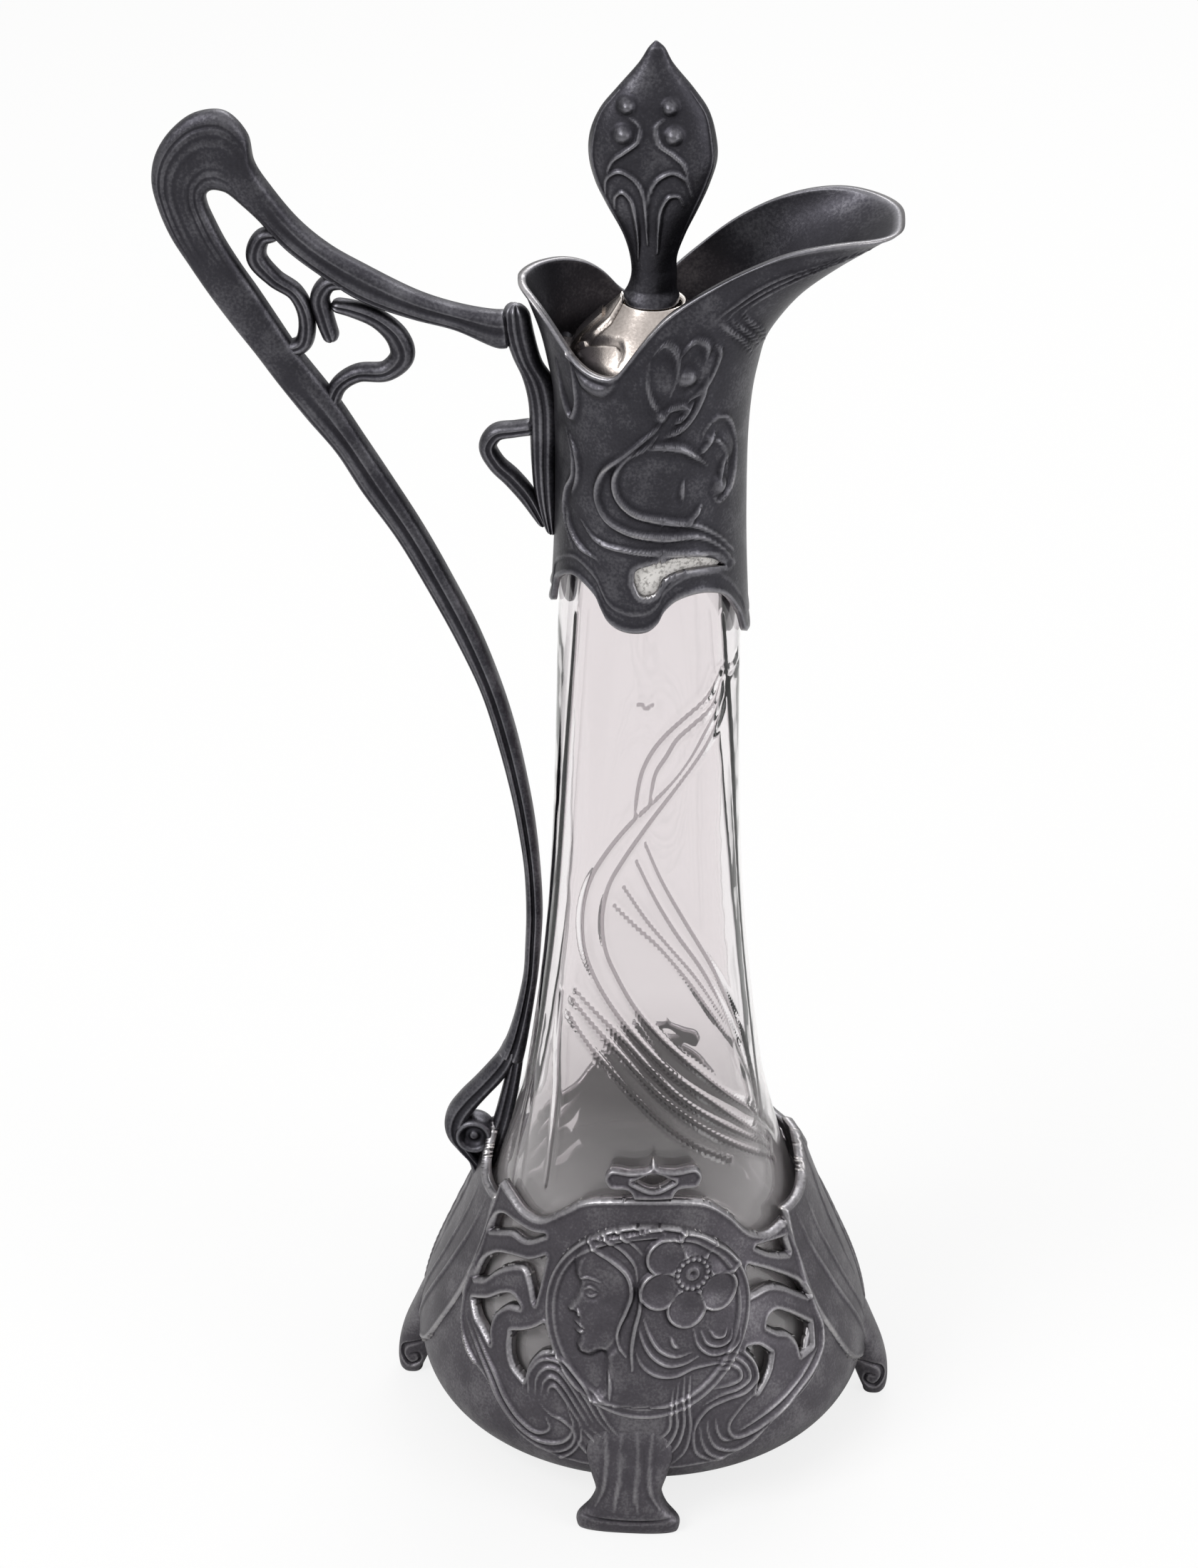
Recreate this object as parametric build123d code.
"""A tall liqueur jug: a glass body in a cast mount, with a handle and a hinged lid.

The jug stands on four feet. Its spout points along +X, its handle along -X, and its
front panel faces -Y. It is modelled about the axis of the glass body, and at the end
every piece is moved so that the origin is under the middle of the whole jug's box.
"""
import math
import os

from build123d import *

# Driving sizes in millimetres: the height of the neck, the radius of the collar and of the mount's belly
neck_top_z = 298.0
collar_radius = 23.2
belly_radius = 58.7
bedding_gap = 0.1
moving_gap = 0.3
# How far a cutting shape runs past the whole jug, and past a small hole
beyond = 160.0
cut_reach = 1.0

# The outlines below are drawn for these sizes. Up to the first height they follow the belly, from the
# second height up they follow the neck and the collar, and between the two they stretch
drawn_neck_top_z = 298.0
drawn_collar_radius = 23.2
drawn_belly_radius = 58.7
stretch_low_z = 100.0
stretch_high_z = 226.0
neck_growth = neck_top_z - drawn_neck_top_z
collar_growth = collar_radius - drawn_collar_radius
belly_growth = belly_radius - drawn_belly_radius

# Glass body: height, half width and how round the corners are, from the foot up
glass_sections = [
    (13.4, 48.0, 0.93),
    (24.0, 54.2, 0.93),
    (35.0, 52.2, 0.93),
    (49.0, 47.0, 0.93),
    (61.5, 42.3, 0.92),
    (76.0, 37.6, 0.90),
    (88.0, 34.1, 0.88),
    (98.0, 31.7, 0.84),
    (110.0, 29.8, 0.80),
    (128.0, 27.4, 0.76),
    (150.0, 25.2, 0.72),
    (175.0, 23.7, 0.72),
    (205.0, 22.9, 0.80),
    (232.0, 22.5, 0.95),
]
shoulder_z = 256.0
shoulder_gap = 1.4
shoulder_drop = 4.0
neck_gap = 3.0
plaster_foot_gap = 2.0
glass_wall = 4.2
glass_floor = 13.0
bore_floor_inset = 3.0

# Collar: height, reach to the handle side, reach to the spout side, half depth, fullness of the spout
collar_sections = [
    (226.0, 24.5, 24.5, 24.5, 2.0),
    (240.0, 24.2, 24.2, 24.2, 2.0),
    (252.0, 23.6, 23.6, 23.6, 2.0),
    (265.0, 23.2, 23.2, 23.2, 2.0),
    (285.0, 23.2, 23.2, 23.2, 2.0),
    (296.0, 23.7, 24.0, 23.2, 2.0),
    (303.0, 25.0, 25.2, 23.2, 2.0),
    (310.0, 26.7, 27.0, 23.1, 2.05),
    (316.0, 28.9, 30.5, 22.8, 2.1),
    (323.0, 31.8, 36.4, 22.4, 2.2),
    (330.0, 35.0, 45.0, 22.1, 2.5),
    (337.0, 38.5, 54.8, 22.0, 3.1),
    (344.0, 42.0, 65.0, 22.0, 3.6),
]
collar_wall = 1.3
collar_steps = 24
round_fullness = 2.0
# Windows pierced in the front and the back of the collar, as sideways places and heights
collar_window = [
    [(-2.6, 254.6), (-2.2, 257.6), (1.6, 259.4), (8.0, 260.8), (15.0, 259.4), (19.4, 255.4)],
    [(19.4, 255.4), (14.6, 257.0), (8.6, 257.2), (4.6, 255.4), (2.4, 251.8), (-0.8, 251.2), (-2.6, 254.6)],
]
# The rim on the front and on the back, from the handle side over the notch to the spout's lip
front_rim_line = [
    (-46.0, 323.0), (-31.5, 322.2), (-27.4, 320.0), (-23.8, 316.4), (-20.4, 312.2), (-17.0, 308.6),
    (-12.8, 306.5), (-8.0, 306.6), (-4.8, 310.4), (-1.0, 315.8), (4.0, 321.6), (9.0, 325.4),
    (15.0, 329.2), (23.0, 333.6), (32.0, 337.4), (44.0, 339.5), (57.0, 339.1), (70.0, 338.0),
]
back_rim_line = [
    (-46.0, 323.0), (-31.5, 322.4), (-27.4, 322.2), (-22.0, 321.4), (-17.0, 319.4), (-12.8, 316.2),
    (-9.0, 311.8), (-5.0, 309.4), (-1.0, 311.6), (4.0, 317.6), (10.0, 323.4), (18.0, 330.2),
    (26.0, 335.0), (35.0, 338.4), (44.0, 339.9), (57.0, 339.1), (70.0, 338.0),
]
# The lower edge seen from the front, with a drop in the middle and a point under the spout
collar_edge_line = [
    (-27.0, 236.0), (-24.0, 239.6), (-22.4, 248.5), (-18.0, 252.6), (-12.5, 249.8), (-8.8, 244.2),
    (-2.0, 241.8), (4.0, 246.0), (8.0, 249.9), (14.0, 250.7), (19.0, 248.2), (22.4, 241.0),
    (24.3, 232.0), (27.0, 228.0),
]

# Lid, its seat and its hinge
seat_height = 3.0
seat_width = 5.0
seat_gap = 0.3
lid_edge_gap = 2.4
lid_wall = 1.2
lid_top_radius = 7.6
lid_height = 16.3
# The dome from its edge to its top, as shares of its fall and of its height
lid_curve = [(1.0, 0.1), (0.88, 0.32), (0.57, 0.59), (0.26, 0.81), (0.0, 1.0)]
hinge_inset = 0.6
hinge_rise = 3.8
hinge_knuckle_radius = 1.6
hinge_pin_radius = 0.8
hinge_running_gap = 0.1
hinge_half_width = 5.8
lid_knuckle_half_width = 2.8
lid_strap_length = 9.1
strap_wall = 1.0
lug_inset = 0.4
arm_inset = 0.2
tie_width = 2.0
tie_height = 0.6
tie_shift = 0.2

# Finial: half width at each height seen from the front
finial_shift = -0.6
finial_profile = [
    (317.6, 6.8), (321.0, 5.4), (326.0, 5.2), (331.0, 6.2), (337.0, 8.8), (344.0, 12.5),
    (350.0, 14.3), (356.0, 14.4), (362.0, 12.7), (368.0, 9.2), (374.0, 4.4), (380.0, 0.6),
]
finial_depth_profile = [
    (317.6, 7.3), (321.0, 5.5), (326.0, 5.1), (332.0, 5.4), (340.0, 6.3), (350.0, 7.0),
    (358.0, 6.6), (366.0, 5.0), (374.0, 2.7), (380.0, 0.6),
]
stud_radius = 1.5
stud_above_lid = 9.4
stud_below_lid = 6.6
stud_end_gap = 0.5
nut_across_flats = 5.5
nut_height = 2.4
washer_radius = 4.0
washer_height = 0.8

# Handle, in the plane through the body's axis: x, z and width of the band at each point
handle_depth = 7.0
handle_band = [
    (-35.4, 309.6, 9.0),
    (-46.0, 311.6, 5.6),
    (-60.0, 316.0, 6.0),
    (-75.0, 322.9, 6.5),
    (-86.0, 332.1, 7.2),
    (-93.1, 340.6, 8.0),
    (-97.2, 346.5, 12.0),
    (-105.5, 350.5, 18.0),
    (-111.3, 341.2, 13.8),
    (-108.7, 333.2, 11.8),
    (-101.0, 319.0, 9.8),
    (-91.0, 302.6, 8.6),
    (-80.2, 288.4, 8.1),
    (-66.0, 266.6, 6.8),
    (-52.0, 242.4, 6.1),
    (-42.6, 221.0, 5.2),
    (-35.6, 200.0, 4.4),
    (-30.4, 174.0, 3.8),
    (-28.8, 150.0, 3.6),
    (-30.6, 124.0, 3.6),
    (-34.5, 106.6, 5.8),
]
tendril_depth = 5.4
hook_band = [
    (-87.5, 331.2, 3.1), (-92.4, 329.6, 4.5), (-93.2, 324.8, 5.1), (-89.4, 320.2, 4.3),
    (-84.6, 316.6, 3.9), (-82.2, 310.6, 4.1), (-83.4, 303.8, 4.3), (-88.0, 302.4, 3.7),
]
whiplash_band = [
    (-67.0, 318.9, 2.7), (-73.0, 319.2, 3.9), (-78.6, 318.6, 4.5), (-78.2, 313.6, 4.7), (-76.4, 307.4, 4.1),
]
loop_band = [
    (-74.4, 313.8, 3.6), (-67.4, 311.6, 4.2), (-61.4, 307.2, 5.4), (-59.4, 301.8, 6.2),
    (-63.4, 297.4, 5.0), (-70.4, 296.6, 4.4), (-75.0, 293.4, 4.2), (-77.6, 287.0, 4.2),
]

# Strap that carries the handle on the collar, and its curl
strap_depth = 6.0
strap_runs = [
    [(-35.4, 304.6), (-31.6, 299.4), (-29.6, 293.0), (-29.2, 284.0), (-28.6, 270.0), (-27.0, 261.0),
     (-24.8, 256.8)],
    [(-24.8, 256.8), (-23.0, 256.8)],
    [(-23.0, 256.8), (-23.0, 265.4)],
    [(-23.0, 265.4), (-24.6, 266.6), (-25.6, 271.0), (-25.2, 277.0), (-23.0, 280.0)],
    [(-23.0, 280.0), (-23.0, 298.0)],
    [(-23.0, 298.0), (-26.6, 301.0), (-28.2, 306.0), (-29.0, 311.4), (-31.4, 318.4)],
    [(-31.4, 318.4), (-31.2, 320.9), (-33.1, 322.2), (-35.0, 320.6), (-35.4, 314.6)],
    [(-35.4, 314.6), (-35.4, 304.6)],
]
curl_runs = [
    [(-29.0, 286.0), (-37.0, 285.2), (-41.8, 282.0), (-41.6, 276.8), (-37.6, 271.2), (-31.0, 265.8),
     (-26.6, 259.6)],
    [(-26.6, 259.6), (-24.0, 262.0)],
    [(-24.0, 262.0), (-26.6, 272.0), (-26.4, 286.0)],
    [(-26.4, 286.0), (-29.0, 286.0)],
]
curl_eye = [[(-35.8, 278.0), (-35.4, 279.8), (-31.4, 279.6), (-31.4, 277.4)],
            [(-31.4, 277.4), (-32.6, 273.4)], [(-32.6, 273.4), (-35.8, 278.0)]]

# Lower fork of the handle: an outer leg that ends in a volute, and an inner leg
fork_depth = 6.6
inner_leg_depth = 4.6
outer_leg_band = [
    (-34.5, 106.6, 6.1), (-40.2, 99.4, 5.7), (-46.2, 92.6, 5.5), (-49.9, 85.6, 6.1),
    (-49.2, 78.4, 6.3), (-46.0, 73.0, 6.1), (-43.6, 67.0, 5.5), (-43.4, 58.5, 5.1),
]
inner_leg_band = [
    (-34.0, 104.4, 3.8), (-35.6, 98.0, 3.6), (-37.4, 89.0, 4.4), (-39.6, 81.0, 4.8), (-41.6, 73.0, 5.0),
]
volute_x = -43.6
volute_z = 79.0
volute_radius = 5.2
volute_dish_radius = 2.6
volute_rise = 0.6
volute_core_inset = 1.2

# Cast mount: height and inner radius, from its tips down to its tucked-in foot
mount_shift = 0.6
mount_profile = [
    (100.0, 33.9), (94.0, 35.3), (86.0, 37.8), (76.0, 40.8), (61.5, 45.5), (49.0, 50.6),
    (35.0, 56.1), (24.0, 58.6), (17.5, 58.7), (12.0, 56.4), (8.2, 51.8),
]
skirt_wall = 1.6
panel_wall = 2.4
crest_wall = 2.2
skirt_top_z = 60.0

# Outline of the front panel: degrees from the front, positive to the spout side, and height
front_top_line = [
    (-60.0, 78.6), (-52.0, 77.4), (-44.0, 75.9), (-36.0, 76.4), (-28.0, 80.6), (-20.0, 84.8), (-10.0, 86.6),
    (5.0, 87.2), (18.0, 86.6), (27.0, 84.8), (35.0, 80.2), (42.0, 73.8), (50.0, 70.9), (60.0, 71.2),
]
front_right_line = [
    (60.0, 71.2), (61.5, 62.0), (61.5, 50.0), (60.0, 40.0), (55.0, 32.6), (48.0, 28.6), (40.0, 26.2),
    (32.0, 21.0), (23.0, 17.6), (13.0, 16.6),
]
front_foot_line = [(13.0, 16.6), (-12.0, 16.6)]
front_left_line = [
    (-12.0, 16.6), (-20.0, 17.6), (-28.0, 20.2), (-34.0, 25.2), (-40.0, 30.8), (-50.0, 35.6), (-57.0, 42.0),
    (-60.0, 52.0), (-61.0, 64.0), (-60.0, 78.6),
]
# Each opening between the ribbons, as runs that meet at its corners
front_openings = [
    [[(-57.6, 65.2), (-56.6, 69.0), (-53.0, 71.4), (-46.0, 71.9), (-38.0, 72.0), (-32.6, 73.0)],
     [(-32.6, 73.0), (-40.0, 69.4), (-47.0, 69.2), (-54.0, 66.6), (-57.6, 65.2)]],
    [[(-30.8, 67.6), (-36.0, 65.0), (-44.0, 63.4), (-51.0, 61.0), (-55.6, 56.8), (-56.6, 52.0)],
     [(-56.6, 52.0), (-52.4, 54.0), (-49.0, 57.6), (-44.0, 60.9), (-38.0, 62.6), (-34.4, 59.8),
      (-31.2, 55.4)],
     [(-31.2, 55.4), (-30.8, 67.6)]],
    [[(-54.0, 47.1), (-48.0, 49.9), (-43.5, 53.1), (-39.6, 54.5), (-35.8, 52.9)],
     [(-35.8, 52.9), (-41.0, 51.5), (-44.0, 47.9), (-44.0, 43.9), (-42.4, 40.9)],
     [(-42.4, 40.9), (-47.0, 43.1), (-50.4, 44.3), (-54.0, 47.1)]],
    [[(-26.6, 51.3), (-23.0, 45.9)],
     [(-23.0, 45.9), (-26.6, 44.3), (-28.9, 40.7), (-29.3, 36.3)],
     [(-29.3, 36.3), (-33.4, 38.7), (-35.4, 41.9), (-36.4, 46.1)],
     [(-36.4, 46.1), (-32.6, 47.5), (-29.2, 49.3), (-26.6, 51.3)]],
    [[(43.0, 69.3), (49.0, 68.5), (56.0, 67.2)], [(56.0, 67.2), (56.4, 62.8)],
     [(56.4, 62.8), (49.0, 65.7), (43.0, 69.3)]],
    [[(38.4, 65.5), (43.0, 63.3), (48.0, 60.5), (53.0, 57.3), (57.0, 53.9), (58.6, 50.2)],
     [(58.6, 50.2), (55.0, 53.0), (50.0, 56.5), (45.0, 58.3), (37.2, 58.1)], [(37.2, 58.1), (38.4, 65.5)]],
    [[(40.8, 49.3), (42.0, 51.0), (45.0, 51.5), (48.0, 49.9), (52.0, 46.9), (56.0, 43.4)],
     [(56.0, 43.4), (54.2, 38.5)], [(54.2, 38.5), (49.6, 38.2)],
     [(49.6, 38.2), (49.4, 42.2), (47.6, 45.0), (44.0, 46.8), (40.8, 49.3)]],
    [[(33.0, 45.9), (36.6, 45.1), (39.9, 42.2)], [(39.9, 42.2), (38.0, 38.7), (33.8, 34.5)],
     [(33.8, 34.5), (35.2, 38.3), (35.0, 42.3), (33.0, 45.9)]],
]

# Medallion in the front panel: its middle and radius measured on the panel
medallion_x = 3.4
medallion_z = 57.0
medallion_radius_x = 26.5
medallion_radius_z = 24.5
medallion_rise = 1.6

# Outline of a side panel: degrees from the side, and height
side_top_line = [
    (-30.0, 73.6), (-20.0, 73.2), (-12.0, 74.6), (-6.0, 78.6), (0.0, 84.4),
    (6.0, 78.6), (12.0, 74.6), (20.0, 73.2), (30.0, 73.6),
]
side_right_line = [(30.0, 73.6), (31.0, 62.0), (30.0, 48.0), (26.0, 36.0), (19.0, 24.0), (10.0, 17.4)]

# Crest on the front panel: degrees and height
crest_line = [
    (-1.0, 87.0), (-3.0, 89.0), (-10.6, 89.4), (-13.0, 92.0), (-11.0, 94.2), (-2.0, 94.4), (5.0, 95.4),
    (6.4, 97.2), (8.0, 95.4), (15.0, 94.4), (24.0, 94.2), (26.0, 92.0), (23.6, 89.4), (15.6, 89.0),
    (13.6, 87.0),
]
crest_eye = [[(-1.4, 91.6), (6.4, 93.6), (14.0, 91.6)], [(14.0, 91.6), (6.4, 89.8), (-1.4, 91.6)]]

# Feet: radius and height seen from the side, and half width at each height
foot_profile = [
    (54.8, 17.5), (57.6, 9.0), (61.0, 0.0), (66.6, 0.0), (67.8, 4.0), (67.4, 9.6), (65.8, 15.6),
    (62.8, 22.6), (59.2, 30.6),
]
front_foot_half_widths = [
    (0.0, 13.2), (3.4, 13.6), (7.0, 10.0), (11.0, 8.4), (16.0, 10.2), (22.0, 12.0), (32.0, 8.0),
]
side_foot_half_widths = [
    (0.0, 3.8), (3.4, 4.4), (7.0, 4.4), (11.0, 4.8), (16.0, 6.0), (22.0, 7.4), (32.0, 6.0),
]
foot_reach = 30.0

# Base plate and the plaster that the glass is bedded in
plate_thickness = 1.2
plate_z = 9.8
plate_inset = 0.2
bedding_inset = 2.0
bedding_width = 16.0


# Sizes that follow from those above
seat_radius = collar_radius - collar_wall - seat_gap
seat_bore = seat_radius - seat_width
lid_edge_radius = seat_radius - lid_edge_gap
lid_foot_z = neck_top_z + seat_height + moving_gap
lid_top_z = lid_foot_z + lid_height
stud_top_z = lid_top_z + stud_above_lid
stud_foot_z = lid_top_z - stud_below_lid
hinge_x = hinge_inset - seat_radius
hinge_z = neck_top_z + seat_height + hinge_rise
neck_radius = collar_radius - neck_gap
shoulder_radius = collar_radius - shoulder_gap
plaster_radius = collar_radius - collar_wall - bedding_gap


def raised(z):
    """A drawn height, moved up with the neck."""
    share = min(max((z - stretch_low_z) / (stretch_high_z - stretch_low_z), 0.0), 1.0)
    return z + neck_growth * share


def spread(z):
    """How far a drawn point at a height stands further out, with the belly and the collar."""
    share = min(max((z - stretch_low_z) / (stretch_high_z - stretch_low_z), 0.0), 1.0)
    return belly_growth * (1 - share) + collar_growth * share


def beside(points):
    """Drawn points of the handle's side, moved with the mount, the collar and the neck."""
    return [(x - spread(z), raised(z), *rest) for x, z, *rest in points]


def beside_runs(runs):
    """Drawn runs of the handle's side, moved with the mount, the collar and the neck."""
    return [beside(run) for run in runs]


def run_edges(runs):
    """Edges through runs of points: a line through two points, a spline through more."""
    return [Line(*run) if len(run) == 2 else Spline(*run) for run in runs]


def run_face(plane, runs):
    """A face on a plane, bounded by runs of points that follow each other."""
    return plane * make_face(run_edges(runs))


def band_runs(band):
    """The closed outline of a band with a width at each point of its middle line."""
    left, right = [], []
    for index, (x, z, width) in enumerate(band):
        before = band[max(index - 1, 0)]
        after = band[min(index + 1, len(band) - 1)]
        run_x, run_z = after[0] - before[0], after[1] - before[1]
        length = math.hypot(run_x, run_z)
        side_x, side_z = -run_z / length * width / 2, run_x / length * width / 2
        left.append((x + side_x, z + side_z))
        right.append((x - side_x, z - side_z))
    return [left, [left[-1], right[-1]], right[::-1], [right[0], left[0]]]


def band_prism(band, depth):
    """A flat band of varying width in the XZ plane, drawn out to both sides."""
    return extrude(run_face(Plane.XZ, band_runs(band)), depth / 2, both=True)


def runs_prism(runs, depth):
    """A closed outline of runs in the XZ plane, drawn out to both sides."""
    return extrude(run_face(Plane.XZ, runs), depth / 2, both=True)


def soft_square(z, half_width, roundness):
    """A square section with round corners at one height."""
    return Plane.XY.offset(z) * RectangleRounded(2 * half_width, 2 * half_width, half_width * roundness)


def disc(radius, z, height):
    """A round disc that stands on a height."""
    return Plane.XY.offset(z) * extrude(Circle(radius), height)


def ring(outer_radius, inner_radius, z, height):
    """A flat ring that stands on a height."""
    return Plane.XY.offset(z) * extrude(Circle(outer_radius) - Circle(inner_radius), height)


def turned(profile_runs):
    """A solid turned about the axis from a closed profile of radius and height."""
    return revolve(run_face(Plane.XZ, profile_runs), Axis.Z)


def mount_points():
    """Height and inner radius of the mount, with its belly as wide as it is set."""
    return [(z, radius + spread(z)) for z, radius in mount_profile]


def mount_radius(z):
    """The inner radius of the cast mount at a height."""
    points = mount_points()
    for (z_high, r_high), (z_low, r_low) in zip(points, points[1:]):
        if z_low <= z <= z_high:
            return r_low + (r_high - r_low) * (z - z_low) / (z_high - z_low)
    return points[0][1] if z > points[0][0] else points[-1][1]


def mount_shell(wall):
    """The whole mount as one turned wall of a given thickness."""
    inner = [(r, z) for z, r in mount_points()]
    outer = [(r + wall, z) for z, r in mount_points()]
    return turned([inner, [inner[-1], outer[-1]], outer[::-1], [outer[0], inner[0]]])


def mount_core(wall):
    """The space inside the outer surface of the mount, down to the ground."""
    outer = [(r + wall, z) for z, r in mount_points()]
    return turned([outer, [outer[-1], (0.0, outer[-1][1])], [(0.0, outer[-1][1]), (0.0, outer[0][1])],
                   [(0.0, outer[0][1]), outer[0]]])


def on_panel(points, wall):
    """Degrees and heights on a panel, as sideways distances and heights."""
    return [((mount_radius(z) + wall) * math.sin(math.radians(angle)), z) for angle, z in points]


def front_prism(runs, wall):
    """An outline on the front panel, drawn out forwards from the axis."""
    face = run_face(Plane.XZ, [on_panel(run, wall) for run in runs])
    return extrude(face, beyond)


def glass_levels():
    """The glass body's sections, moved with the belly, the collar and the neck."""
    return [(raised(z), half + spread(z), roundness) for z, half, roundness in glass_sections]


def glass_form(sections, top_radius, floor_z=None):
    """The outer form of the glass, or the space inside it, from its floor to its shoulder."""
    levels = [soft_square(*section) for section in sections]
    if floor_z is not None:
        _, foot_half, roundness = sections[0]
        levels.insert(0, soft_square(floor_z, foot_half - bore_floor_inset, roundness))
    last_z, last_half, _ = sections[-1]
    shoulder_level = Plane.XY.offset(raised(shoulder_z))
    shoulder = [Plane.XY.offset(last_z) * Circle(last_half), shoulder_level * Circle(top_radius)]
    return loft(levels, ruled=True) + loft(shoulder, ruled=True)


def make_glass():
    """The glass body, with its thick floor and its round neck."""
    sections = glass_levels()
    body = glass_form(sections, shoulder_radius)
    shoulder_level = Plane.XY.offset(raised(shoulder_z))
    neck_foot_z = raised(shoulder_z) + shoulder_drop
    drop = [shoulder_level * Circle(shoulder_radius), Plane.XY.offset(neck_foot_z) * Circle(neck_radius)]
    body += loft(drop, ruled=True)
    body += disc(neck_radius, neck_foot_z, neck_top_z - neck_foot_z)
    floor_z = sections[0][0] + glass_floor
    inner = [(z, half - glass_wall, roundness) for z, half, roundness in sections if z > floor_z]
    bore_radius = neck_radius - glass_wall
    bore = glass_form(inner, bore_radius, floor_z)
    bore += disc(bore_radius, raised(shoulder_z), neck_top_z - raised(shoulder_z) + beyond)
    return body - bore


def collar_wire(section, inset):
    """One level section of the collar, rounder or fuller on the spout's side."""
    z, handle_reach, spout_reach, half_depth, fullness = section
    points = []
    for step in range(collar_steps):
        angle = 2 * math.pi * step / collar_steps
        along, across = math.cos(angle), math.sin(angle)
        power = 2.0 / (fullness if along > 0 else round_fullness)
        reach = spout_reach if along > 0 else handle_reach
        x = math.copysign(abs(along) ** power, along) * (reach - inset[0 if along < 0 else 1])
        y = math.copysign(abs(across) ** power, across) * (half_depth - inset[2])
        points.append((x, y))
    return Plane.XY.offset(z) * make_face(Spline(*points, periodic=True))


def collar_levels():
    """The collar's sections, moved with its radius and with the neck."""
    return [(raised(z), *(reach + collar_growth for reach in reaches), fullness)
            for z, *reaches, fullness in collar_sections]


def collar_solid(hollow):
    """The collar's outer form, or the space inside its wall."""
    levels = collar_levels()
    sections = []
    for index, section in enumerate(levels):
        before = levels[max(index - 1, 0)]
        after = levels[min(index + 1, len(levels) - 1)]
        rise = after[0] - before[0]
        slopes = [(after[column] - before[column]) / rise for column in (1, 2, 3)]
        inset = [collar_wall * math.hypot(1, slope) if hollow else 0.0 for slope in slopes]
        sections.append(collar_wire(section, inset))
    return loft(sections)


def collar_line(points):
    """A drawn line across the collar, moved with its radius and with the neck."""
    return [(x + math.copysign(collar_growth, x), raised(z)) for x, z in points]


def cut_runs(line, level):
    """The closed outline between a line and a level far above or below it."""
    first, last = line[0], line[-1]
    corner_last, corner_first = (last[0], level), (first[0], level)
    return [line, [last, corner_last], [corner_last, corner_first], [corner_first, first]]


def make_collar():
    """The collar with its spout, its lobe over the handle and its two notches."""
    shell = collar_solid(False) - collar_solid(True)
    high, low = neck_top_z + beyond, neck_top_z - beyond
    above_front = extrude(run_face(Plane.XZ, cut_runs(collar_line(front_rim_line), high)), beyond)
    above_back = extrude(run_face(Plane.XZ, cut_runs(collar_line(back_rim_line), high)), -beyond)
    below = runs_prism(cut_runs(collar_line(collar_edge_line), low), beyond)
    window = runs_prism([[(x, raised(z)) for x, z in run] for run in collar_window], beyond)
    return shell - above_front - above_back - below - window


def make_neck_plaster():
    """The plaster between the glass neck and the collar."""
    foot_z = raised(shoulder_z) + shoulder_drop + plaster_foot_gap
    return ring(plaster_radius, neck_radius + bedding_gap, foot_z, neck_top_z - foot_z)


def make_lid_seat():
    """The flat ring inside the collar that the lid closes on."""
    return ring(seat_radius, seat_bore, neck_top_z, seat_height)


def lid_outline():
    """Radius and height of the lid's outer surface, from its edge to its top."""
    fall = lid_edge_radius - lid_top_radius
    outline = [(lid_edge_radius, lid_foot_z)]
    outline += [(lid_top_radius + fall * width, lid_foot_z + lid_height * height)
                for width, height in lid_curve]
    return outline


def dome(outline):
    """A solid turned from radii and heights that start with an upright edge."""
    foot_z, top_z = outline[0][1], outline[-1][1]
    return turned([outline[:2], outline[1:], [outline[-1], (0.0, top_z)],
                   [(0.0, top_z), (0.0, foot_z)], [(0.0, foot_z), outline[0]]])


def make_lid_shell():
    """The domed lid, hollow below, with a hole for the finial's stud."""
    outline = lid_outline()
    edge, *rise = outline
    inner = [(edge[0] - lid_wall, edge[1])] + [(radius - lid_wall, z - lid_wall) for radius, z in rise]
    stud_hole = disc(stud_radius + bedding_gap, stud_foot_z, lid_top_z - stud_foot_z + cut_reach)
    return dome(outline) - dome(inner) - stud_hole


def knuckle(y_low, y_high, radius):
    """A hinge barrel along Y."""
    plane = Plane(origin=(hinge_x, y_low, hinge_z), x_dir=(1, 0, 0), z_dir=(0, 1, 0))
    return plane * extrude(Circle(radius), y_high - y_low)


def make_hinge_bracket():
    """Two fixed barrels on lugs that stand on the lid's seat."""
    lugs = None
    bore_end = hinge_half_width + cut_reach
    bore = knuckle(-bore_end, bore_end, hinge_pin_radius + hinge_running_gap)
    inner_y = lid_knuckle_half_width + moving_gap
    seat_top = neck_top_z + seat_height
    lug_width = hinge_half_width - inner_y
    lug_height = hinge_z - seat_top
    for side in (-1, 1):
        y_low = inner_y if side > 0 else -hinge_half_width
        lug_place = Pos(hinge_x + lug_inset, side * (inner_y + lug_width / 2), seat_top + lug_height / 2)
        lug = lug_place * Box(2 * (hinge_knuckle_radius - lug_inset), lug_width, lug_height)
        piece = lug + knuckle(y_low, y_low + lug_width, hinge_knuckle_radius)
        lugs = piece if lugs is None else lugs + piece
    tie_place = Pos(hinge_x + tie_shift, 0, seat_top + tie_height / 2)
    tie = tie_place * Box(tie_width, 2 * hinge_half_width, tie_height)
    return lugs + tie - bore


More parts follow.
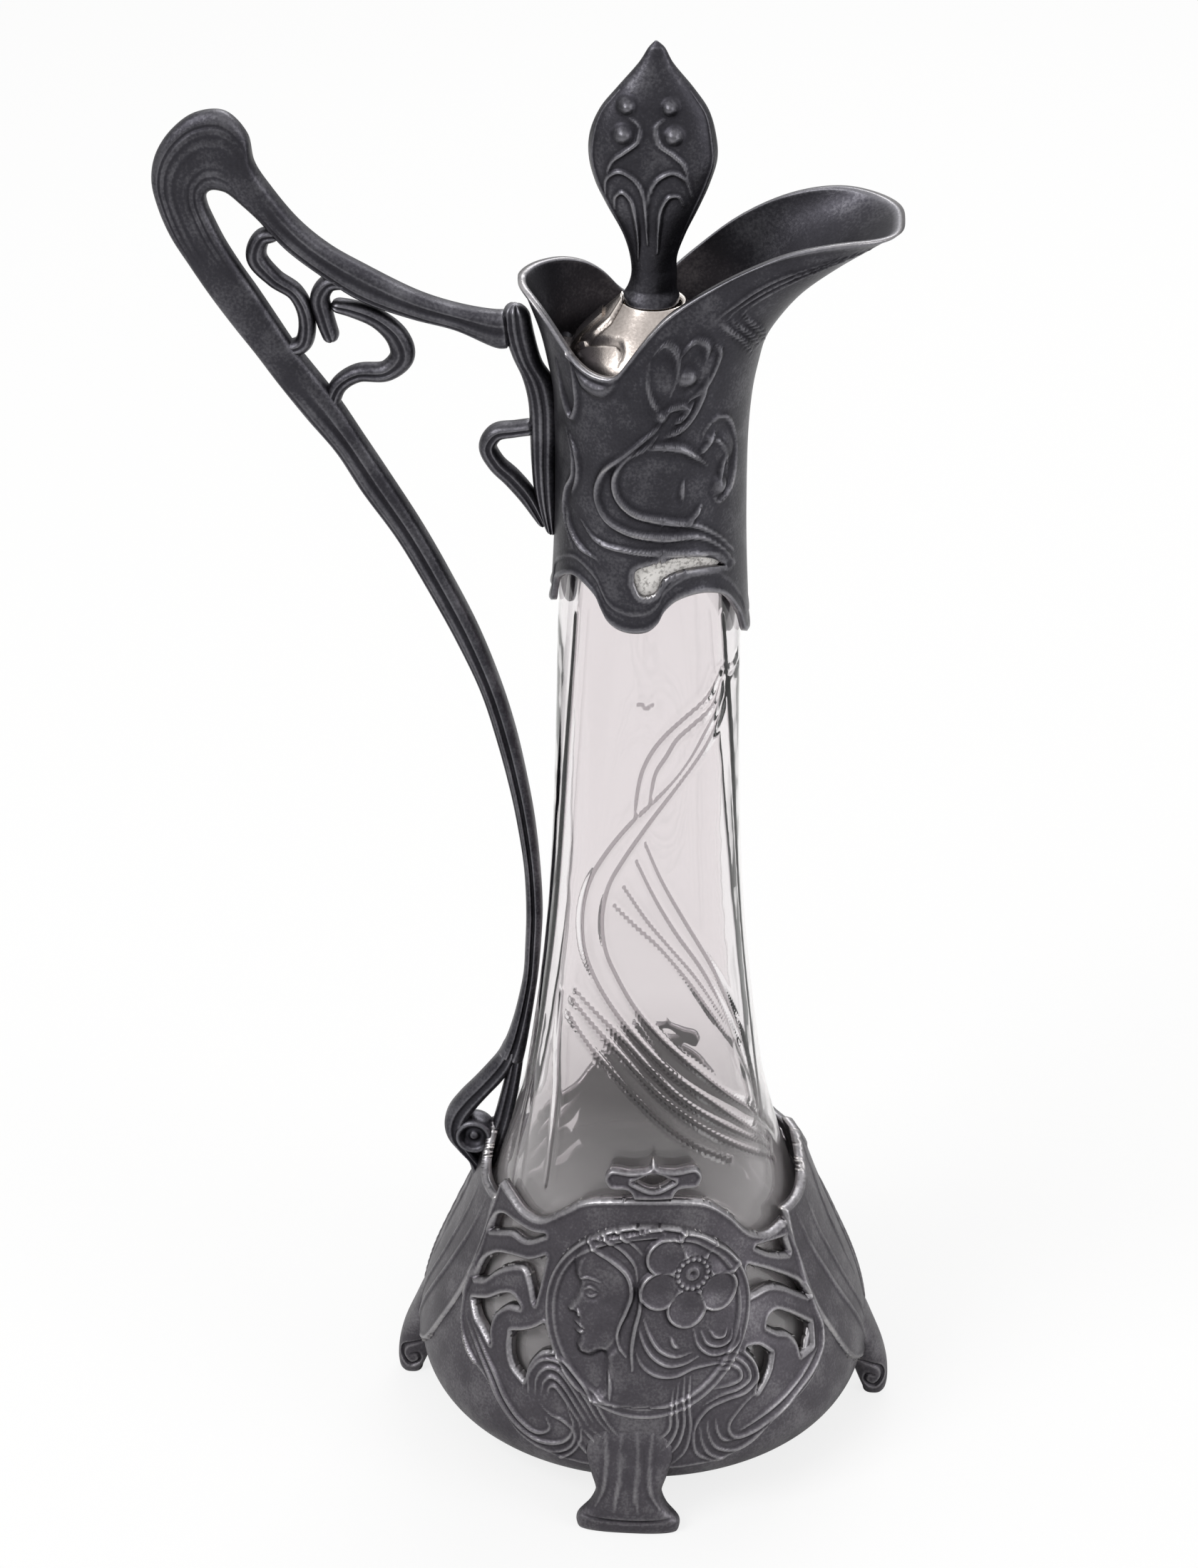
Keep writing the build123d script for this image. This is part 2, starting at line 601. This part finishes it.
def make_lid_knuckle():
    """The lid's barrel and the strap that is soldered over the lid."""
    outline = lid_outline()
    over = [(radius + strap_wall, z + strap_wall) for radius, z in outline]
    cap = turned([[outline[1], over[1]], over[1:], [over[-1], outline[-1]], outline[1:][::-1]])
    width = 2 * lid_knuckle_half_width
    from_hinge = (Align.MIN, Align.CENTER, Align.MIN)
    strap_box = Box(lid_strap_length, width, lid_top_z, align=from_hinge)
    strap = cap & (Pos(hinge_x, 0, 0) * strap_box)
    arm_low, arm_high = outline[1][1] + bedding_gap, hinge_z + hinge_knuckle_radius - arm_inset
    arm_box = Box(-lid_edge_radius - hinge_x, width, arm_high - arm_low, align=from_hinge)
    arm = Pos(hinge_x, 0, arm_low) * arm_box - dome(outline)
    barrel = knuckle(-lid_knuckle_half_width, lid_knuckle_half_width, hinge_knuckle_radius)
    bore = knuckle(-hinge_half_width, hinge_half_width, hinge_pin_radius + hinge_running_gap)
    return strap + arm + barrel - bore


def make_hinge_pin():
    """The pin through the three barrels."""
    return knuckle(-hinge_half_width, hinge_half_width, hinge_pin_radius)


def profile_prism(plane, profile, middle, depth):
    """A prism whose half width follows a list of heights, about a middle line."""
    right = [(middle + half, z) for z, half in profile]
    left = [(middle - half, z) for z, half in profile]
    face = run_face(plane, [right, [right[-1], left[-1]], left[::-1], [left[0], right[0]]])
    return extrude(face, depth / 2, both=True)


def on_lid(profile):
    """Drawn heights and half widths of the finial, set down on the lid's top."""
    return [(z - profile[0][0] + lid_top_z, half) for z, half in profile]


def make_finial():
    """The flat bud on the lid, with a blind hole for its stud."""
    front = profile_prism(Plane.XZ, on_lid(finial_profile), finial_shift, beyond)
    side = profile_prism(Plane.YZ, on_lid(finial_depth_profile), 0.0, beyond)
    hole_height = stud_top_z + stud_end_gap - lid_top_z
    return (front & side) - disc(stud_radius + bedding_gap, lid_top_z, hole_height)


def make_finial_stud():
    """The threaded stud between the finial and the nut."""
    return disc(stud_radius, stud_foot_z, stud_top_z - stud_foot_z)


def make_finial_washer():
    """The washer under the lid."""
    lid_underside = lid_top_z - lid_wall
    return ring(washer_radius, stud_radius + bedding_gap, lid_underside - washer_height, washer_height)


def make_finial_nut():
    """The nut that pulls the finial down on the lid."""
    nut_z = lid_top_z - lid_wall - washer_height - nut_height
    hexagon = RegularPolygon(nut_across_flats / math.sqrt(3), 6) - Circle(stud_radius + bedding_gap)
    return Plane.XY.offset(nut_z) * extrude(hexagon, nut_height)


def make_handle_pieces(collar_outer, leg_seat):
    """The handle's bow, its tendrils, its strap and curl, and its lower fork."""
    bow = band_prism(beside(handle_band), handle_depth)
    hook = band_prism(beside(hook_band), tendril_depth) - bow
    whiplash = band_prism(beside(whiplash_band), tendril_depth) - bow - hook
    loop = band_prism(beside(loop_band), tendril_depth) - bow - hook - whiplash
    strap = runs_prism(beside_runs(strap_runs), strap_depth) - collar_outer - bow
    eye = runs_prism(beside_runs(curl_eye), 2 * strap_depth)
    curl = runs_prism(beside_runs(curl_runs), strap_depth) - strap - collar_outer - eye
    outer_leg = band_prism(beside(outer_leg_band), fork_depth) - bow - leg_seat
    inner_leg = band_prism(beside(inner_leg_band), inner_leg_depth) - bow - outer_leg - leg_seat
    volute_place = (volute_x - spread(volute_z), 0, raised(volute_z))
    volute_plane = Plane(origin=volute_place, x_dir=(1, 0, 0), z_dir=(0, -1, 0))
    volute = volute_plane * extrude(Circle(volute_radius), fork_depth / 2 + volute_rise, both=True)
    dish = volute_plane * extrude(Circle(volute_dish_radius), fork_depth, both=True)
    core = volute_plane * extrude(Circle(volute_dish_radius), fork_depth / 2 - volute_core_inset, both=True)
    volute = (volute - dish + core) - outer_leg - inner_leg - leg_seat
    return {
        "handle_bow": bow, "handle_hook_tendril": hook, "handle_whiplash_tendril": whiplash,
        "handle_loop_tendril": loop, "handle_strap": strap, "handle_curl": curl,
        "handle_outer_leg": outer_leg, "handle_inner_leg": inner_leg, "handle_volute": volute,
    }


def side_shield():
    """The outline of a side panel, drawn out along X from the axis."""
    runs = [side_top_line, side_right_line,
            [side_right_line[-1], (-side_right_line[-1][0], side_right_line[-1][1])],
            [(-angle, z) for angle, z in side_right_line[::-1]]]
    return extrude(run_face(Plane.YZ, [on_panel(run, panel_wall) for run in runs]), beyond)


def make_leg_seat():
    """The glass and the handle-side panel with what lies behind it, which the handle's legs meet."""
    behind = mount_core(panel_wall) & mirror(side_shield(), Plane.YZ)
    return Pos(mount_shift, 0, 0) * behind


def make_mount_pieces():
    """The skirt, the four panels, the medallions and the crests of the cast mount."""
    shield_runs = [front_top_line, front_right_line, front_foot_line, front_left_line]
    front_shield = front_prism(shield_runs, panel_wall)
    back_shield = mirror(front_shield, Plane.XZ)
    spout_shield = side_shield()
    handle_shield = mirror(spout_shield, Plane.YZ)
    shell = mount_shell(panel_wall)
    front = shell & front_shield
    for opening in front_openings:
        front -= front_prism(opening, panel_wall)
    spout = (shell & spout_shield) - front_shield - back_shield
    handle = (shell & handle_shield) - front_shield - back_shield
    skirt = mount_shell(skirt_wall) - front_shield - back_shield - spout_shield - handle_shield
    skirt -= disc(beyond, skirt_top_z, beyond)
    medal_plane = Plane(origin=(medallion_x, 0, medallion_z), x_dir=(1, 0, 0), z_dir=(0, -1, 0))
    medal_prism = medal_plane * extrude(Ellipse(medallion_radius_x, medallion_radius_z), beyond)
    medallion = (mount_shell(panel_wall + medallion_rise) - mount_core(panel_wall)) & medal_prism
    crest_shell = mount_shell(crest_wall)
    crest = crest_shell & front_prism([crest_line, [crest_line[-1], crest_line[0]]], crest_wall)
    crest -= front_prism(crest_eye, crest_wall)
    crest -= front_shield
    return {
        "base_skirt": skirt, "front_panel": front, "back_panel": mirror(front, Plane.XZ),
        "spout_side_panel": spout, "handle_side_panel": handle,
        "front_medallion": medallion, "back_medallion": mirror(medallion, Plane.XZ),
        "front_crest": crest, "back_crest": mirror(crest, Plane.XZ),
    }


def make_foot(half_widths, turn):
    """A foot that flares to its sole, trimmed to the outside of the mount."""
    profile = [(radius + belly_growth, z) for radius, z in foot_profile]
    face = run_face(Plane.XZ, [profile[:3], profile[2:4], profile[3:], [profile[-1], profile[0]]])
    block = extrude(face, foot_reach, both=True)
    outline = profile_prism(Plane.YZ, half_widths, 0.0, 2 * beyond)
    return Rot(0, 0, turn) * ((block & outline) - mount_core(panel_wall))


def make_feet():
    """Four feet, wide ones at the front and back and narrow ones at the sides."""
    turns = {"foot_spout": 0, "foot_back": 90, "foot_handle": 180, "foot_front": 270}
    wide = ("foot_back", "foot_front")
    return {name: make_foot(front_foot_half_widths if name in wide else side_foot_half_widths, turn)
            for name, turn in turns.items()}


def make_base_plate():
    """The disc that closes the mount from below."""
    return disc(mount_radius(plate_z) - plate_inset, plate_z, plate_thickness)


def make_base_plaster():
    """The plaster ring that the glass stands on."""
    low = plate_z + plate_thickness
    outer_radius = glass_levels()[0][1] - bedding_inset
    return ring(outer_radius, outer_radius - bedding_width, low, glass_sections[0][0] - low)


def make_all():
    """Every piece of the jug about the axis of its body, by name."""
    pieces = {"glass_body": make_glass(), "collar": make_collar(), "neck_plaster": make_neck_plaster(),
              "lid_seat": make_lid_seat(), "lid_shell": make_lid_shell(),
              "hinge_bracket": make_hinge_bracket(), "hinge_pin": make_hinge_pin(),
              "lid_knuckle": make_lid_knuckle(), "finial": make_finial(),
              "finial_stud": make_finial_stud(), "finial_washer": make_finial_washer(),
              "finial_nut": make_finial_nut(), "base_plaster": make_base_plaster()}
    leg_seat = make_leg_seat() + pieces["glass_body"]
    pieces.update(make_handle_pieces(collar_solid(False), leg_seat))
    mount = {**make_mount_pieces(), **make_feet(), "base_plate": make_base_plate()}
    pieces.update({name: Pos(mount_shift, 0, 0) * piece for name, piece in mount.items()})
    return pieces


def main():
    """Write every piece, with the origin under the middle of the whole jug's box."""
    pieces = make_all()
    boxes = [piece.bounding_box() for piece in pieces.values()]
    middle_x = (min(box.min.X for box in boxes) + max(box.max.X for box in boxes)) / 2
    middle_y = (min(box.min.Y for box in boxes) + max(box.max.Y for box in boxes)) / 2
    print("body axis at x", round(-middle_x, 3), "y", round(-middle_y, 3))
    print("hinge axis at x", round(hinge_x - middle_x, 3), "z", round(hinge_z, 3))
    os.makedirs("parts", exist_ok=True)
    for name, piece in pieces.items():
        export_step(Pos(-middle_x, -middle_y, 0) * piece, f"parts/{name}.step")


main()
